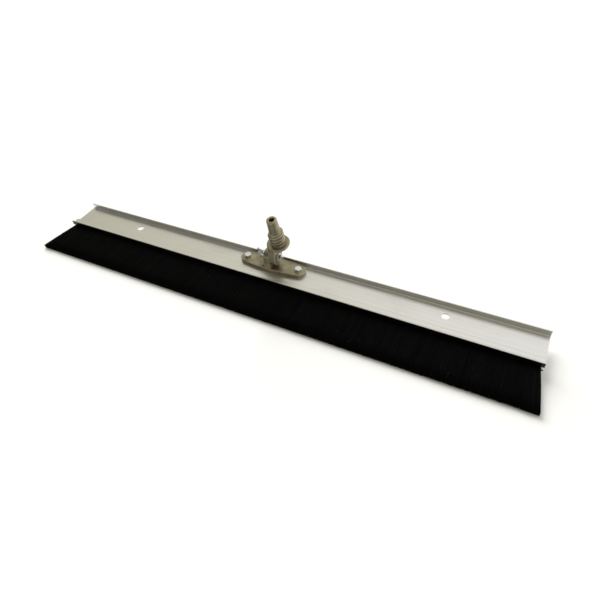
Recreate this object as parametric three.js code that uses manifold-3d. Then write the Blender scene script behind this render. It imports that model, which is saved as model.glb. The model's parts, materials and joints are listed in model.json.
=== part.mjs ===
// Concrete finishing broom head, 36 in wide: an aluminium extrusion that holds a replaceable strip of
// black bristles, with a cast bracket and an adjustable handle adapter bolted on its back.
//
// Units are millimetres and +Z is up. Every piece is built in the frame of the backing plate: X runs
// along the head, Y = 0 is the front lip and Y grows to the rear, Z = 0 is the plate's upper face. The
// whole assembly is then tilted until it lies on its bristle tips and the two bracket bolts.

import * as THREE from "three";
import { mergeVertices } from "three/addons/utils/BufferGeometryUtils.js";
import Module from "manifold-3d";

const wasm = await Module();
wasm.setup();

// ---------------------------------------------------------------------------------------------
// Driving dimensions
// ---------------------------------------------------------------------------------------------

const GAP = 0.3; // clearance between pieces that touch
const INCH = 25.4;
const OVERRUN = 1; // how far a cutting or joining solid runs past a face

// backing extrusion
const HEAD_LENGTH = 36 * INCH;
const PLATE_THICKNESS = 2.4;
const HEAD_DEPTH = 63.5;
const FLANGE_THICKNESS = 2.2;
const FLANGE_HEIGHT = 9.8;
const LIP_HEIGHT = 8.4;
const LIP_REACH = 7;
const JAW_THICKNESS = 2;
const SLOT_BACK = 11.4;
const SLOT_TOP = 1.8;
const SLOT_BOTTOM = -6.7;
const SLOT_WALL = 2.1;
const JAW_TOP = -0.2;
const JAW_BOTTOM = -4.9;
const STEP_END = 16.5;
const CORNER_ROUND = 1; // at the extrusion's outer corners
const FLANGE_FILLET = 1.5; // where the rear flange meets the plate
const FLANGE_CROWN = 0.8; // height of the rounding on the rear flange's top
const ACCESSORY_HOLE_X = 309;
const ACCESSORY_HOLE_Y = 41;
const ACCESSORY_HOLE_RADIUS = 6.35;

// brush strip
const STRIP_MARGIN = 5; // the strip stops this far short of each end of the extrusion
const STRIP_WALL = 0.9;
const STRIP_LIP = 1.1;
const CORE_RADIUS = 1;
const BRISTLE_REACH = 75.2; // from the front lip to the tips
const BRISTLE_DROP = 0.4; // how much lower the tips are than the root
const BRISTLE_ROOT_HALF = 1.1;
const BRISTLE_TIP_HALF = 3.6;
const BRISTLE_SPLAY = 11.5; // how far the end tufts lean outwards at the tips
const BRISTLE_SECTIONS = 6;

// bracket base and ear
const BRACKET_Y = 43;
const BOLT_X = 51.5;
const BASE_BOTTOM = GAP;
const BASE_TOP = 7;
const BASE_HALF_WIDTH = 17;
const BASE_END_RADIUS = 13;
const BASE_BEVEL = 0.8;
const EAR_LEFT = -9.5;
const EAR_RIGHT = 2;
const EAR_RADIUS = 13.5;
const EAR_FOOT_HALF = 16;
const ROOT_HEIGHT = 5; // the casting swells round the ear up to this far above the base
const ROOT_SWEEP = 14; // how far the swelling runs out on the wing nut's side
const PIVOT_HEIGHT = 24;

// handle adapter, measured from the pivot along its own axis
const ADAPTER_LEAN = THREE.MathUtils.degToRad(9.4);
const TANG_LEFT = EAR_RIGHT + GAP;
const TANG_RIGHT = 14.3;
const TANG_RADIUS = 13.5;
const STUB_X = 19; // the threaded stub stands beside the tang
const STUB_BEHIND = 5; // and a little behind the pivot
const BOSS_BOTTOM = 20;
const COLLAR_BOTTOM = 31;
const COLLAR_TOP = 36;
const COLLAR_RADIUS = 20;
const THREAD_START = 39;
const THREAD_PITCH = 6.7;
const THREAD_TURNS = 3.5;
const THREAD_ROOT = 11.2;
const THREAD_CREST = 13.6;
const THREAD_TOP = 63;
const STUB_TOP = 90.4;
const STUB_BASE_RADIUS = 10;
const STUB_TIP_RADIUS = 8.8;
const BORE_RADIUS = 4.4;
const BORE_BOTTOM = 56;
const NECK_HALF = 11; // the tang narrows to this where it meets the collar

// fasteners: two 1/4-20 x 1 in bolts hold the bracket, one 5/16-18 bolt is the pivot
const SMALL = { shank: 3.175, hole: 3.5, across: 11.1, head: 4.2, nut: 5.6, washer: 7.9, length: INCH };
const LARGE = { shank: 3.97, hole: 4.3, across: 12.7, head: 5.3, nut: 8, washer: 7.7, length: 42 };
const BOLT_CHAMFER = 0.7;
const WASHER_THICKNESS = 1.6;
const LOCK_OUTER = 6.1;
const LOCK_SLIT = 1.4;
const LOCK_SLANT = 0.35; // radians, the slit's slope across the washer
const STOP_SCREW_X = 400;
const STOP_SCREW_RADIUS = 1.9;
const STOP_HEAD_RADIUS = 3.6;
const STOP_HEAD_HEIGHT = 2;

// wing nut
const WING_TIP = 12.6;
const WING_THICKNESS = 2.6;
const HUB_BASE_RADIUS = 6.8;
const HUB_TOP_RADIUS = 5.4;
const WING_ANGLE = THREE.MathUtils.degToRad(-10); // the upper wing leans this far to the rear

// ---------------------------------------------------------------------------------------------
// Materials
// ---------------------------------------------------------------------------------------------

function metal(color, roughness) {
  return new THREE.MeshStandardMaterial({ color, roughness, metalness: 1 });
}

const millAluminium = () => metal(0xc9c8bd, 0.38);
const castMetal = () => metal(0x9c9379, 0.55);
const zincPlate = () => metal(0xc3ccd4, 0.28);
const stripSteel = () => metal(0x8f9496, 0.42);
const blackBristle = () => new THREE.MeshStandardMaterial({ color: 0x0b0b0b, roughness: 0.6, metalness: 0 });

// ---------------------------------------------------------------------------------------------
// Solids
// ---------------------------------------------------------------------------------------------

// A closed geometry as a solid that can be joined and cut.
function toSolid(geometry) {
  const bare = geometry.clone();
  bare.deleteAttribute("normal");
  bare.deleteAttribute("uv");
  const merged = mergeVertices(bare, 1e-4);
  const corners = merged.index.array;
  const kept = [];
  for (let i = 0; i < corners.length; i += 3) {
    const [a, b, c] = [corners[i], corners[i + 1], corners[i + 2]];
    if (a !== b && b !== c && c !== a) {
      kept.push(a, b, c);
    }
  }
  const mesh = new wasm.Mesh({
    numProp: 3,
    vertProperties: new Float32Array(merged.attributes.position.array),
    triVerts: new Uint32Array(kept),
  });
  return new wasm.Manifold(mesh);
}

function toGeometry(solid) {
  const mesh = solid.getMesh();
  const geometry = new THREE.BufferGeometry();
  geometry.setAttribute("position", new THREE.BufferAttribute(new Float32Array(mesh.vertProperties), 3));
  geometry.setIndex(new THREE.BufferAttribute(new Uint32Array(mesh.triVerts), 1));
  geometry.computeVertexNormals();
  return geometry;
}

// An outline in the YZ plane, extruded along X.
function alongX(shape, x0, x1, curveSegments = 10) {
  const geometry = new THREE.ExtrudeGeometry(shape, { depth: x1 - x0, bevelEnabled: false, curveSegments });
  const toYZ = new THREE.Matrix4().makeBasis(
    new THREE.Vector3(0, 1, 0),
    new THREE.Vector3(0, 0, 1),
    new THREE.Vector3(1, 0, 0),
  );
  return geometry.applyMatrix4(toYZ).translate(x0, 0, 0);
}

// An outline in the XZ plane, extruded along Y.
function alongY(shape, y0, y1, curveSegments = 10) {
  const geometry = new THREE.ExtrudeGeometry(shape, { depth: y1 - y0, bevelEnabled: false, curveSegments });
  return geometry.rotateX(Math.PI / 2).translate(0, y1, 0);
}

function outline(points) {
  return new THREE.Shape(points.map(([u, v]) => new THREE.Vector2(u, v)));
}

// A turned piece: profile points are [radius, height], turned about Z.
function turned(profile, segments) {
  const points = profile.map(([radius, height]) => new THREE.Vector2(radius, height));
  return new THREE.LatheGeometry(points, segments).rotateX(Math.PI / 2);
}

function rod(radius, z0, z1, segments) {
  const cylinder = new THREE.CylinderGeometry(radius, radius, z1 - z0, segments);
  return cylinder.rotateX(Math.PI / 2).translate(0, 0, (z0 + z1) / 2);
}

function rodAlongX(radius, x0, x1, segments) {
  return rod(radius, x0, x1, segments).rotateY(Math.PI / 2);
}

function piece(name, shape, material) {
  const geometry = shape.isBufferGeometry ? toGeometry(toSolid(shape)) : toGeometry(shape);
  const mesh = new THREE.Mesh(geometry, material);
  mesh.name = name;
  return mesh;
}

// ---------------------------------------------------------------------------------------------
// Backing extrusion
// ---------------------------------------------------------------------------------------------

function backingProfile() {
  const top = SLOT_TOP + SLOT_WALL;
  const bottom = SLOT_BOTTOM - SLOT_WALL;
  const back = SLOT_BACK + SLOT_WALL;
  const under = -PLATE_THICKNESS;
  const flangeInner = HEAD_DEPTH - FLANGE_THICKNESS;
  const shape = new THREE.Shape();
  shape.moveTo(0, JAW_TOP);
  shape.lineTo(JAW_THICKNESS, JAW_TOP);
  shape.lineTo(JAW_THICKNESS, SLOT_TOP);
  shape.lineTo(SLOT_BACK, SLOT_TOP);
  shape.lineTo(SLOT_BACK, SLOT_BOTTOM);
  shape.lineTo(JAW_THICKNESS, SLOT_BOTTOM);
  shape.lineTo(JAW_THICKNESS, JAW_BOTTOM);
  shape.lineTo(0, JAW_BOTTOM);
  shape.lineTo(0, bottom + CORNER_ROUND);
  shape.quadraticCurveTo(0, bottom, CORNER_ROUND, bottom);
  shape.lineTo(back - CORNER_ROUND, bottom);
  shape.quadraticCurveTo(back, bottom, back, bottom + CORNER_ROUND);
  shape.lineTo(back, under - CORNER_ROUND);
  shape.quadraticCurveTo(back, under, back + CORNER_ROUND, under);
  shape.lineTo(HEAD_DEPTH - CORNER_ROUND, under);
  shape.quadraticCurveTo(HEAD_DEPTH, under, HEAD_DEPTH, under + CORNER_ROUND);
  shape.lineTo(HEAD_DEPTH, FLANGE_HEIGHT - FLANGE_CROWN);
  shape.quadraticCurveTo(HEAD_DEPTH, FLANGE_HEIGHT, HEAD_DEPTH - FLANGE_THICKNESS / 2, FLANGE_HEIGHT);
  shape.quadraticCurveTo(flangeInner, FLANGE_HEIGHT, flangeInner, FLANGE_HEIGHT - FLANGE_CROWN);
  shape.lineTo(flangeInner, FLANGE_FILLET);
  shape.quadraticCurveTo(flangeInner, 0, flangeInner - FLANGE_FILLET, 0);
  shape.lineTo(STEP_END + CORNER_ROUND, 0);
  shape.quadraticCurveTo(STEP_END, 0, STEP_END - 0.6, top / 2);
  shape.quadraticCurveTo(back + 1.4, top, back, top);
  shape.lineTo(LIP_REACH, top);
  shape.quadraticCurveTo(LIP_REACH - 3, top + 0.6, 2.2, LIP_HEIGHT - 0.6);
  shape.quadraticCurveTo(0.4, LIP_HEIGHT + 0.8, 0, LIP_HEIGHT - 1.2);
  return shape;
}

function backingExtrusion() {
  let body = toSolid(alongX(backingProfile(), -HEAD_LENGTH / 2, HEAD_LENGTH / 2, 4));
  const drill = (x, y, radius, segments) => {
    const cutter = rod(radius, -PLATE_THICKNESS - OVERRUN, OVERRUN, segments).translate(x, y, 0);
    body = body.subtract(toSolid(cutter));
  };
  for (const side of [-1, 1]) {
    drill(side * ACCESSORY_HOLE_X, ACCESSORY_HOLE_Y, ACCESSORY_HOLE_RADIUS, 32);
    drill(side * BOLT_X, BRACKET_Y, SMALL.hole, 20);
    const stop = rod(STOP_SCREW_RADIUS + GAP, SLOT_BOTTOM - SLOT_WALL - OVERRUN, SLOT_BOTTOM + OVERRUN, 16);
    body = body.subtract(toSolid(stop.translate(side * STOP_SCREW_X, (JAW_THICKNESS + SLOT_BACK) / 2, 0)));
  }
  return piece("backing_extrusion", body, millAluminium());
}

// ---------------------------------------------------------------------------------------------
// Brush strip
// ---------------------------------------------------------------------------------------------

const stripHalf = HEAD_LENGTH / 2 - STRIP_MARGIN;
const stripTop = SLOT_TOP - GAP;
const stripBottom = SLOT_BOTTOM + GAP;
const stripFront = JAW_THICKNESS + GAP;
const stripBack = SLOT_BACK - GAP;
const stripMiddle = (stripTop + stripBottom) / 2;
const coreY = stripBack - STRIP_WALL - GAP - CORE_RADIUS;
const bristleRoot = coreY - CORE_RADIUS - GAP;

// The steel channel is open at the front, where its two edges are crimped in on the bristles.
function stripChannel() {
  const shape = outline([
    [stripFront, stripBottom],
    [stripBack, stripBottom],
    [stripBack, stripTop],
    [stripFront, stripTop],
    [stripFront, stripTop - STRIP_WALL - STRIP_LIP],
    [stripFront + STRIP_WALL, stripTop - STRIP_WALL - STRIP_LIP],
    [stripFront + STRIP_WALL, stripTop - STRIP_WALL],
    [stripBack - STRIP_WALL, stripTop - STRIP_WALL],
    [stripBack - STRIP_WALL, stripBottom + STRIP_WALL],
    [stripFront + STRIP_WALL, stripBottom + STRIP_WALL],
    [stripFront + STRIP_WALL, stripBottom + STRIP_WALL + STRIP_LIP],
    [stripFront, stripBottom + STRIP_WALL + STRIP_LIP],
  ]);
  return piece("brush_strip_channel", alongX(shape, -stripHalf, stripHalf), stripSteel());
}

function coreWire() {
  const wire = rodAlongX(CORE_RADIUS, -stripHalf, stripHalf, 12).translate(0, coreY, stripMiddle);
  return piece("strip_core_wire", wire, stripSteel());
}

// One length of bristles: a wedge that fans out from the channel to the tips. Only the two ends of
// the strip splay outwards.
function bristleSection(index) {
  const width = (2 * stripHalf) / BRISTLE_SECTIONS;
  const isFirst = index === 0;
  const isLast = index === BRISTLE_SECTIONS - 1;
  const x0 = -stripHalf + index * width + (isFirst ? 0 : GAP / 2);
  const x1 = -stripHalf + (index + 1) * width - (isLast ? 0 : GAP / 2);
  const tip = stripMiddle - BRISTLE_DROP;
  const wedge = new THREE.BoxGeometry(1, 1, 1);
  const corners = wedge.attributes.position;
  for (let i = 0; i < corners.count; i += 1) {
    const atRoot = corners.getY(i) > 0;
    const onLeft = corners.getX(i) < 0;
    const above = Math.sign(corners.getZ(i));
    if (atRoot) {
      corners.setXYZ(i, onLeft ? x0 : x1, bristleRoot, stripMiddle + above * BRISTLE_ROOT_HALF);
    } else {
      const tipLeft = isFirst ? x0 - BRISTLE_SPLAY : x0;
      const tipRight = isLast ? x1 + BRISTLE_SPLAY : x1;
      corners.setXYZ(i, onLeft ? tipLeft : tipRight, -BRISTLE_REACH, tip + above * BRISTLE_TIP_HALF);
    }
  }
  return piece(`bristle_section_${index + 1}`, wedge, blackBristle());
}

// A pan-head screw up through the holder's floor keeps the strip from sliding out.
function stopScrew(name, side) {
  const floor = SLOT_BOTTOM - SLOT_WALL - GAP;
  const profile = [
    [0, SLOT_BOTTOM],
    [STOP_SCREW_RADIUS, SLOT_BOTTOM],
    [STOP_SCREW_RADIUS, floor],
    [STOP_HEAD_RADIUS, floor],
    [STOP_HEAD_RADIUS, floor - STOP_HEAD_HEIGHT / 2],
    [STOP_HEAD_RADIUS * 0.7, floor - STOP_HEAD_HEIGHT],
    [0, floor - STOP_HEAD_HEIGHT],
  ];
  const screw = turned([...profile].reverse(), 20);
  screw.translate(side * STOP_SCREW_X, (JAW_THICKNESS + SLOT_BACK) / 2, 0);
  return piece(name, screw, zincPlate());
}

// ---------------------------------------------------------------------------------------------
// Fasteners, each built along Z
// ---------------------------------------------------------------------------------------------

function hexPrism(across, z0, z1) {
  return toSolid(rod(across / Math.sqrt(3), z0, z1, 6));
}

// Six flats whose corners are turned off at one end by a cone.
function hexHead(across, z0, z1) {
  const corner = across / Math.sqrt(3);
  const chamfer = corner - across / 2;
  const outer = corner + 0.1;
  const cone = turned([[0, z0], [outer, z0], [outer, z1 - chamfer], [across / 2, z1], [0, z1]], 36);
  return hexPrism(across, z0, z1).intersect(toSolid(cone));
}

function bolt(size) {
  const end = -size.length;
  const profile = [
    [0, end],
    [size.shank - BOLT_CHAMFER, end],
    [size.shank, end + BOLT_CHAMFER],
    [size.shank, OVERRUN],
    [0, OVERRUN],
  ];
  return hexHead(size.across, 0, size.head).add(toSolid(turned(profile, 24)));
}

function nut(size) {
  const hole = rod(size.hole, -OVERRUN, size.nut + OVERRUN, 20);
  return hexHead(size.across, 0, size.nut).subtract(toSolid(hole));
}

function flatWasher(size) {
  const [inner, outer, top] = [size.hole, size.washer, WASHER_THICKNESS];
  return turned([[inner, 0], [outer, 0], [outer, top], [inner, top], [inner, 0]], 28);
}

function lockWasher(size, outer) {
  const [inner, top] = [size.hole, WASHER_THICKNESS];
  const ring = turned([[inner, 0], [outer, 0], [outer, top], [inner, top], [inner, 0]], 28);
  const slit = new THREE.BoxGeometry(outer, LOCK_SLIT, 3 * top).rotateX(LOCK_SLANT);
  return toSolid(ring).subtract(toSolid(slit.translate(outer / 2 + 1, 0, top / 2)));
}

// ---------------------------------------------------------------------------------------------
// Bracket
// ---------------------------------------------------------------------------------------------

function baseOutline() {
  const inset = BASE_BEVEL;
  const radius = BASE_END_RADIUS - inset;
  const half = BASE_HALF_WIDTH - inset;
  const shape = new THREE.Shape();
  shape.moveTo(-BOLT_X, -radius);
  shape.quadraticCurveTo(-BOLT_X / 2, -half, 0, -half);
  shape.quadraticCurveTo(BOLT_X / 2, -half, BOLT_X, -radius);
  shape.absarc(BOLT_X, 0, radius, -Math.PI / 2, Math.PI / 2, false);
  shape.quadraticCurveTo(BOLT_X / 2, half, 0, half);
  shape.quadraticCurveTo(-BOLT_X / 2, half, -BOLT_X, radius);
  shape.absarc(-BOLT_X, 0, radius, Math.PI / 2, (3 * Math.PI) / 2, false);
  return shape;
}

function earProfile() {
  const shape = new THREE.Shape();
  shape.moveTo(-EAR_FOOT_HALF, BASE_TOP - OVERRUN);
  shape.quadraticCurveTo(1 - EAR_RADIUS, BASE_TOP + 4, -EAR_RADIUS, PIVOT_HEIGHT);
  shape.absarc(0, PIVOT_HEIGHT, EAR_RADIUS, Math.PI, 0, true);
  shape.quadraticCurveTo(EAR_RADIUS - 1, BASE_TOP + 4, EAR_FOOT_HALF, BASE_TOP - OVERRUN);
  return shape;
}

// The casting's root: a long sweep on the nut's side, a short one under the tang.
function earRoot() {
  const low = BASE_TOP - OVERRUN;
  const shape = new THREE.Shape();
  shape.moveTo(EAR_LEFT - ROOT_SWEEP, low);
  shape.lineTo(EAR_LEFT - ROOT_SWEEP, BASE_TOP);
  shape.quadraticCurveTo(EAR_LEFT - 2, BASE_TOP + 0.4, EAR_LEFT, BASE_TOP + ROOT_HEIGHT);
  shape.lineTo(EAR_RIGHT, BASE_TOP + ROOT_HEIGHT);
  shape.lineTo(EAR_RIGHT, BASE_TOP + 2.4);
  shape.quadraticCurveTo(EAR_RIGHT + 0.6, BASE_TOP + 0.2, EAR_RIGHT + 4, BASE_TOP);
  shape.lineTo(EAR_RIGHT + 4, low);
  return alongY(shape, -EAR_RADIUS + 1, EAR_RADIUS - 1, 6);
}

function bracketBase() {
  const slab = new THREE.ExtrudeGeometry(baseOutline(), {
    depth: BASE_TOP - BASE_BOTTOM - 2 * BASE_BEVEL,
    bevelThickness: BASE_BEVEL,
    bevelSize: BASE_BEVEL,
    bevelSegments: 2,
    curveSegments: 12,
  });
  let body = toSolid(slab.translate(0, 0, BASE_BOTTOM + BASE_BEVEL));
  body = body.add(toSolid(alongX(earProfile(), EAR_LEFT, EAR_RIGHT, 12)));
  body = body.add(toSolid(earRoot()));
  for (const side of [-1, 1]) {
    const hole = rod(SMALL.hole, BASE_BOTTOM - OVERRUN, BASE_TOP + OVERRUN, 20);
    body = body.subtract(toSolid(hole.translate(side * BOLT_X, 0, 0)));
  }
  const bore = rodAlongX(LARGE.hole, EAR_LEFT - OVERRUN, EAR_RIGHT + OVERRUN, 24);
  body = body.subtract(toSolid(bore.translate(0, 0, PIVOT_HEIGHT)));
  const mesh = piece("bracket_base", body, castMetal());
  mesh.position.set(0, BRACKET_Y, 0);
  return mesh;
}

// A bracket bolt with its washer, lock washer and nut under the plate.
function bracketFastener(side, name) {
  const group = new THREE.Group();
  const place = (mesh, z, flipped) => {
    mesh.position.set(side * BOLT_X, BRACKET_Y, z);
    mesh.rotation.x = flipped ? Math.PI : 0;
    group.add(mesh);
  };
  const washerAt = -PLATE_THICKNESS - GAP;
  const lockAt = washerAt - WASHER_THICKNESS - GAP;
  const nutAt = lockAt - WASHER_THICKNESS - GAP;
  place(piece(`bracket_bolt_${name}`, bolt(SMALL), zincPlate()), BASE_TOP + GAP, false);
  place(piece(`bracket_washer_${name}`, flatWasher(SMALL), zincPlate()), washerAt, true);
  place(piece(`bracket_lock_washer_${name}`, lockWasher(SMALL, LOCK_OUTER), zincPlate()), lockAt, true);
  place(piece(`bracket_nut_${name}`, nut(SMALL), zincPlate()), nutAt, true);
  return group;
}

// ---------------------------------------------------------------------------------------------
// Handle adapter: origin at the pivot, its threaded stub pointing up
// ---------------------------------------------------------------------------------------------

// A trapezoidal ridge wound round the core, running out to nothing at both ends.
function threadRidge() {
  const stepsPerTurn = 28;
  const steps = Math.round(THREAD_TURNS * stepsPerTurn);
  const runOut = stepsPerTurn / 4;
  const [rootHalf, crestHalf, sunk] = [2.5, 0.9, 0.8];
  const positions = [];
  for (let i = 0; i <= steps; i += 1) {
    const angle = (i / stepsPerTurn) * 2 * Math.PI;
    const height = THREAD_START + (i / stepsPerTurn) * THREAD_PITCH;
    const fade = Math.min(1, i / runOut, (steps - i) / runOut);
    const crest = THREAD_ROOT - 0.2 + (THREAD_CREST - THREAD_ROOT + 0.2) * fade;
    const section = [
      [THREAD_ROOT - sunk, -rootHalf],
      [crest, -crestHalf],
      [crest, crestHalf],
      [THREAD_ROOT - sunk, rootHalf],
    ];
    for (const [radius, offset] of section) {
      positions.push(radius * Math.cos(angle), radius * Math.sin(angle), height + offset);
    }
  }
  const index = [];
  for (let i = 0; i < steps; i += 1) {
    for (let k = 0; k < 4; k += 1) {
      const a = 4 * i + k;
      const b = 4 * i + ((k + 1) % 4);
      index.push(a, a + 4, b, b, a + 4, b + 4);
    }
  }
  const last = 4 * steps;
  index.push(0, 1, 2, 0, 2, 3);
  index.push(last, last + 2, last + 1, last, last + 3, last + 2);
  const ridge = new THREE.BufferGeometry();
  ridge.setAttribute("position", new THREE.Float32BufferAttribute(positions, 3));
  ridge.setIndex(index);
  return ridge;
}

function adapterStub() {
  const profile = [
    [0, BOSS_BOTTOM],
    [8, BOSS_BOTTOM],
    [10, BOSS_BOTTOM + 2],
    [13, COLLAR_BOTTOM - 2],
    [COLLAR_RADIUS - 3, COLLAR_BOTTOM],
    [COLLAR_RADIUS - 0.4, COLLAR_BOTTOM + 1.2],
    [COLLAR_RADIUS, COLLAR_TOP - 1.4],
    [COLLAR_RADIUS - 1, COLLAR_TOP - 0.3],
    [COLLAR_RADIUS - 1.6, COLLAR_TOP],
    [THREAD_ROOT + 1.2, COLLAR_TOP],
    [THREAD_ROOT, COLLAR_TOP + 1],
    [THREAD_ROOT, THREAD_TOP - 1],
    [STUB_BASE_RADIUS, THREAD_TOP],
    [STUB_TIP_RADIUS, STUB_TOP - 1.2],
    [STUB_TIP_RADIUS - 1, STUB_TOP],
    [BORE_RADIUS, STUB_TOP],
    [BORE_RADIUS, BORE_BOTTOM],
    [0, BORE_BOTTOM - 2],
  ];
  return toSolid(turned(profile, 40)).add(toSolid(threadRidge()));
}

function tangProfile() {
  const top = COLLAR_BOTTOM + 2;
  const shape = new THREE.Shape();
  shape.moveTo(-TANG_RADIUS, 0);
  shape.absarc(0, 0, TANG_RADIUS, Math.PI, 2 * Math.PI, false);
  shape.bezierCurveTo(TANG_RADIUS, 10, STUB_BEHIND + NECK_HALF, 16, STUB_BEHIND + NECK_HALF, top);
  shape.lineTo(STUB_BEHIND - NECK_HALF, top);
  shape.bezierCurveTo(STUB_BEHIND - NECK_HALF, 18, -TANG_RADIUS, 12, -TANG_RADIUS, 0);
  return shape;
}

function handleAdapter() {
  let body = adapterStub().translate([STUB_X, STUB_BEHIND, 0]);
  body = body.add(toSolid(alongX(tangProfile(), TANG_LEFT, TANG_RIGHT, 12)));
  const bore = rodAlongX(LARGE.hole, TANG_LEFT - OVERRUN, TANG_RIGHT + OVERRUN, 24);
  return piece("handle_adapter", body.subtract(toSolid(bore)), castMetal());
}

// ---------------------------------------------------------------------------------------------
// Pivot
// ---------------------------------------------------------------------------------------------

const headWasherAt = TANG_RIGHT + GAP;
const headAt = headWasherAt + WASHER_THICKNESS + GAP;
const nutWasherAt = EAR_LEFT - GAP;
const nutLockAt = nutWasherAt - WASHER_THICKNESS - GAP;
const wingNutAt = nutLockAt - WASHER_THICKNESS - GAP;

// Two rounded wings on a conical hub, built along +Z with the flat face at Z = 0.
function wingNut() {
  const hub = turned([
    [0, 0],
    [HUB_BASE_RADIUS, 0],
    [HUB_BASE_RADIUS, 1.6],
    [HUB_TOP_RADIUS, LARGE.nut],
    [0, LARGE.nut],
  ], 28);
  let body = toSolid(hub);
  for (const side of [-1, 1]) {
    const wing = new THREE.Shape();
    wing.moveTo(side * 3, 1);
    wing.lineTo(side * 6.5, 1);
    wing.bezierCurveTo(side * 9, 2, side * (WING_TIP - 0.6), 6, side * WING_TIP, 9);
    wing.bezierCurveTo(side * WING_TIP, 13, side * 8, 13.5, side * 6.6, 9.6);
    wing.lineTo(side * 3, LARGE.nut - 0.5);
    body = body.add(toSolid(alongY(wing, -WING_THICKNESS / 2, WING_THICKNESS / 2, 8)));
  }
  return body.subtract(toSolid(rod(LARGE.hole, -OVERRUN, LARGE.nut + OVERRUN, 24)));
}

function pivotParts() {
  const group = new THREE.Group();
  const place = (mesh, x, pointsLeft) => {
    mesh.position.x = x;
    mesh.rotation.y = pointsLeft ? -Math.PI / 2 : Math.PI / 2;
    group.add(mesh);
  };
  place(piece("pivot_bolt", bolt(LARGE), zincPlate()), headAt, false);
  place(piece("pivot_head_washer", flatWasher(LARGE), zincPlate()), headWasherAt, false);
  place(piece("pivot_nut_washer", flatWasher(LARGE), zincPlate()), nutWasherAt, true);
  place(piece("pivot_lock_washer", lockWasher(LARGE, LARGE.across / 2 + 0.9), zincPlate()), nutLockAt, true);
  const nutMesh = piece("wing_nut", wingNut(), zincPlate());
  nutMesh.rotation.z = WING_ANGLE;
  const holder = new THREE.Group();
  holder.position.x = wingNutAt;
  holder.rotation.y = -Math.PI / 2;
  holder.add(nutMesh);
  group.add(holder);
  return group;
}

// ---------------------------------------------------------------------------------------------
// Assembly
// ---------------------------------------------------------------------------------------------

const assembly = new THREE.Group();
assembly.add(backingExtrusion(), stripChannel(), coreWire());
for (let index = 0; index < BRISTLE_SECTIONS; index += 1) {
  assembly.add(bristleSection(index));
}
assembly.add(stopScrew("strip_stop_screw_left", -1), stopScrew("strip_stop_screw_right", 1));
assembly.add(bracketBase());
assembly.add(bracketFastener(-1, "left"), bracketFastener(1, "right"));

const pivot = pivotParts();
pivot.position.set(0, BRACKET_Y, PIVOT_HEIGHT);
assembly.add(pivot);

const adapter = handleAdapter();
adapter.position.copy(pivot.position);
adapter.rotation.x = ADAPTER_LEAN;
assembly.add(adapter);

// Lay the head down: the ends of the bracket bolts and the bristle tips share the ground.
const boltEnd = new THREE.Vector2(BRACKET_Y - SMALL.shank + BOLT_CHAMFER, BASE_TOP + GAP - SMALL.length);
const bristleTip = new THREE.Vector2(-BRISTLE_REACH, stripMiddle - BRISTLE_DROP - BRISTLE_TIP_HALF);
assembly.rotation.x = Math.atan2(bristleTip.y - boltEnd.y, boltEnd.x - bristleTip.x);

const broomHead = new THREE.Group();
broomHead.add(assembly);
broomHead.updateMatrixWorld(true);
const bounds = new THREE.Box3().setFromObject(broomHead, true);
assembly.position.set(0, -(bounds.min.y + bounds.max.y) / 2, -bounds.min.z);

export default broomHead;
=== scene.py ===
"""Looks of the concrete finishing broom head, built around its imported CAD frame.

Shapes are worked out in millimetres in the plate's frame (X along the head, Y to the rear, Z = 0 on the
plate's upper face) and placed in the row frame by a matrix.
"""

import json
import math
import random

import bmesh
import bpy
import numpy as np
from mathutils import Matrix, Vector, noise


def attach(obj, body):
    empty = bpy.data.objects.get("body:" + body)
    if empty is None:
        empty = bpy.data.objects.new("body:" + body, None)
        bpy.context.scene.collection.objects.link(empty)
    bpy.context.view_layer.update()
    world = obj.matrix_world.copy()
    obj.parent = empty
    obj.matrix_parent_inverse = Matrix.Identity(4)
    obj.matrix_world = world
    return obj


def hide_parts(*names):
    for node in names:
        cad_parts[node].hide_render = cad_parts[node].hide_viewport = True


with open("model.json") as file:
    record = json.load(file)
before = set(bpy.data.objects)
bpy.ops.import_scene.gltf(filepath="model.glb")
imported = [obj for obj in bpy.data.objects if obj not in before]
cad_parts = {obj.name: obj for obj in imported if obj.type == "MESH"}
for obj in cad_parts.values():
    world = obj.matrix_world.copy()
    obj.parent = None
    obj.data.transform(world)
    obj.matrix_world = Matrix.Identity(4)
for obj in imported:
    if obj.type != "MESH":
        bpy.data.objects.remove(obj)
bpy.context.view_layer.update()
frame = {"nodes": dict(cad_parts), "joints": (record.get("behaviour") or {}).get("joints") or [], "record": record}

# ------------------------------------------------------------------------------------------------
# Dimensions, in millimetres, as the CAD parts have them
# ------------------------------------------------------------------------------------------------

MM = 0.001
GAP = 0.3
HARD_EDGE = math.radians(35)

HEAD_LENGTH = 914.4
PLATE_THICKNESS = 2.4
HEAD_DEPTH = 63.5
FLANGE_THICKNESS = 2.2
FLANGE_HEIGHT = 9.8
LIP_HEIGHT = 8.4
LIP_REACH = 7
JAW_THICKNESS = 2
SLOT_BACK = 11.4
SLOT_TOP = 1.8
SLOT_BOTTOM = -6.7
SLOT_WALL = 2.1
JAW_TOP = -0.2
JAW_BOTTOM = -4.9
STEP_END = 16.5
HOLE_X = 309
HOLE_Y = 41
HOLE_RADIUS = 6.35

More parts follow.
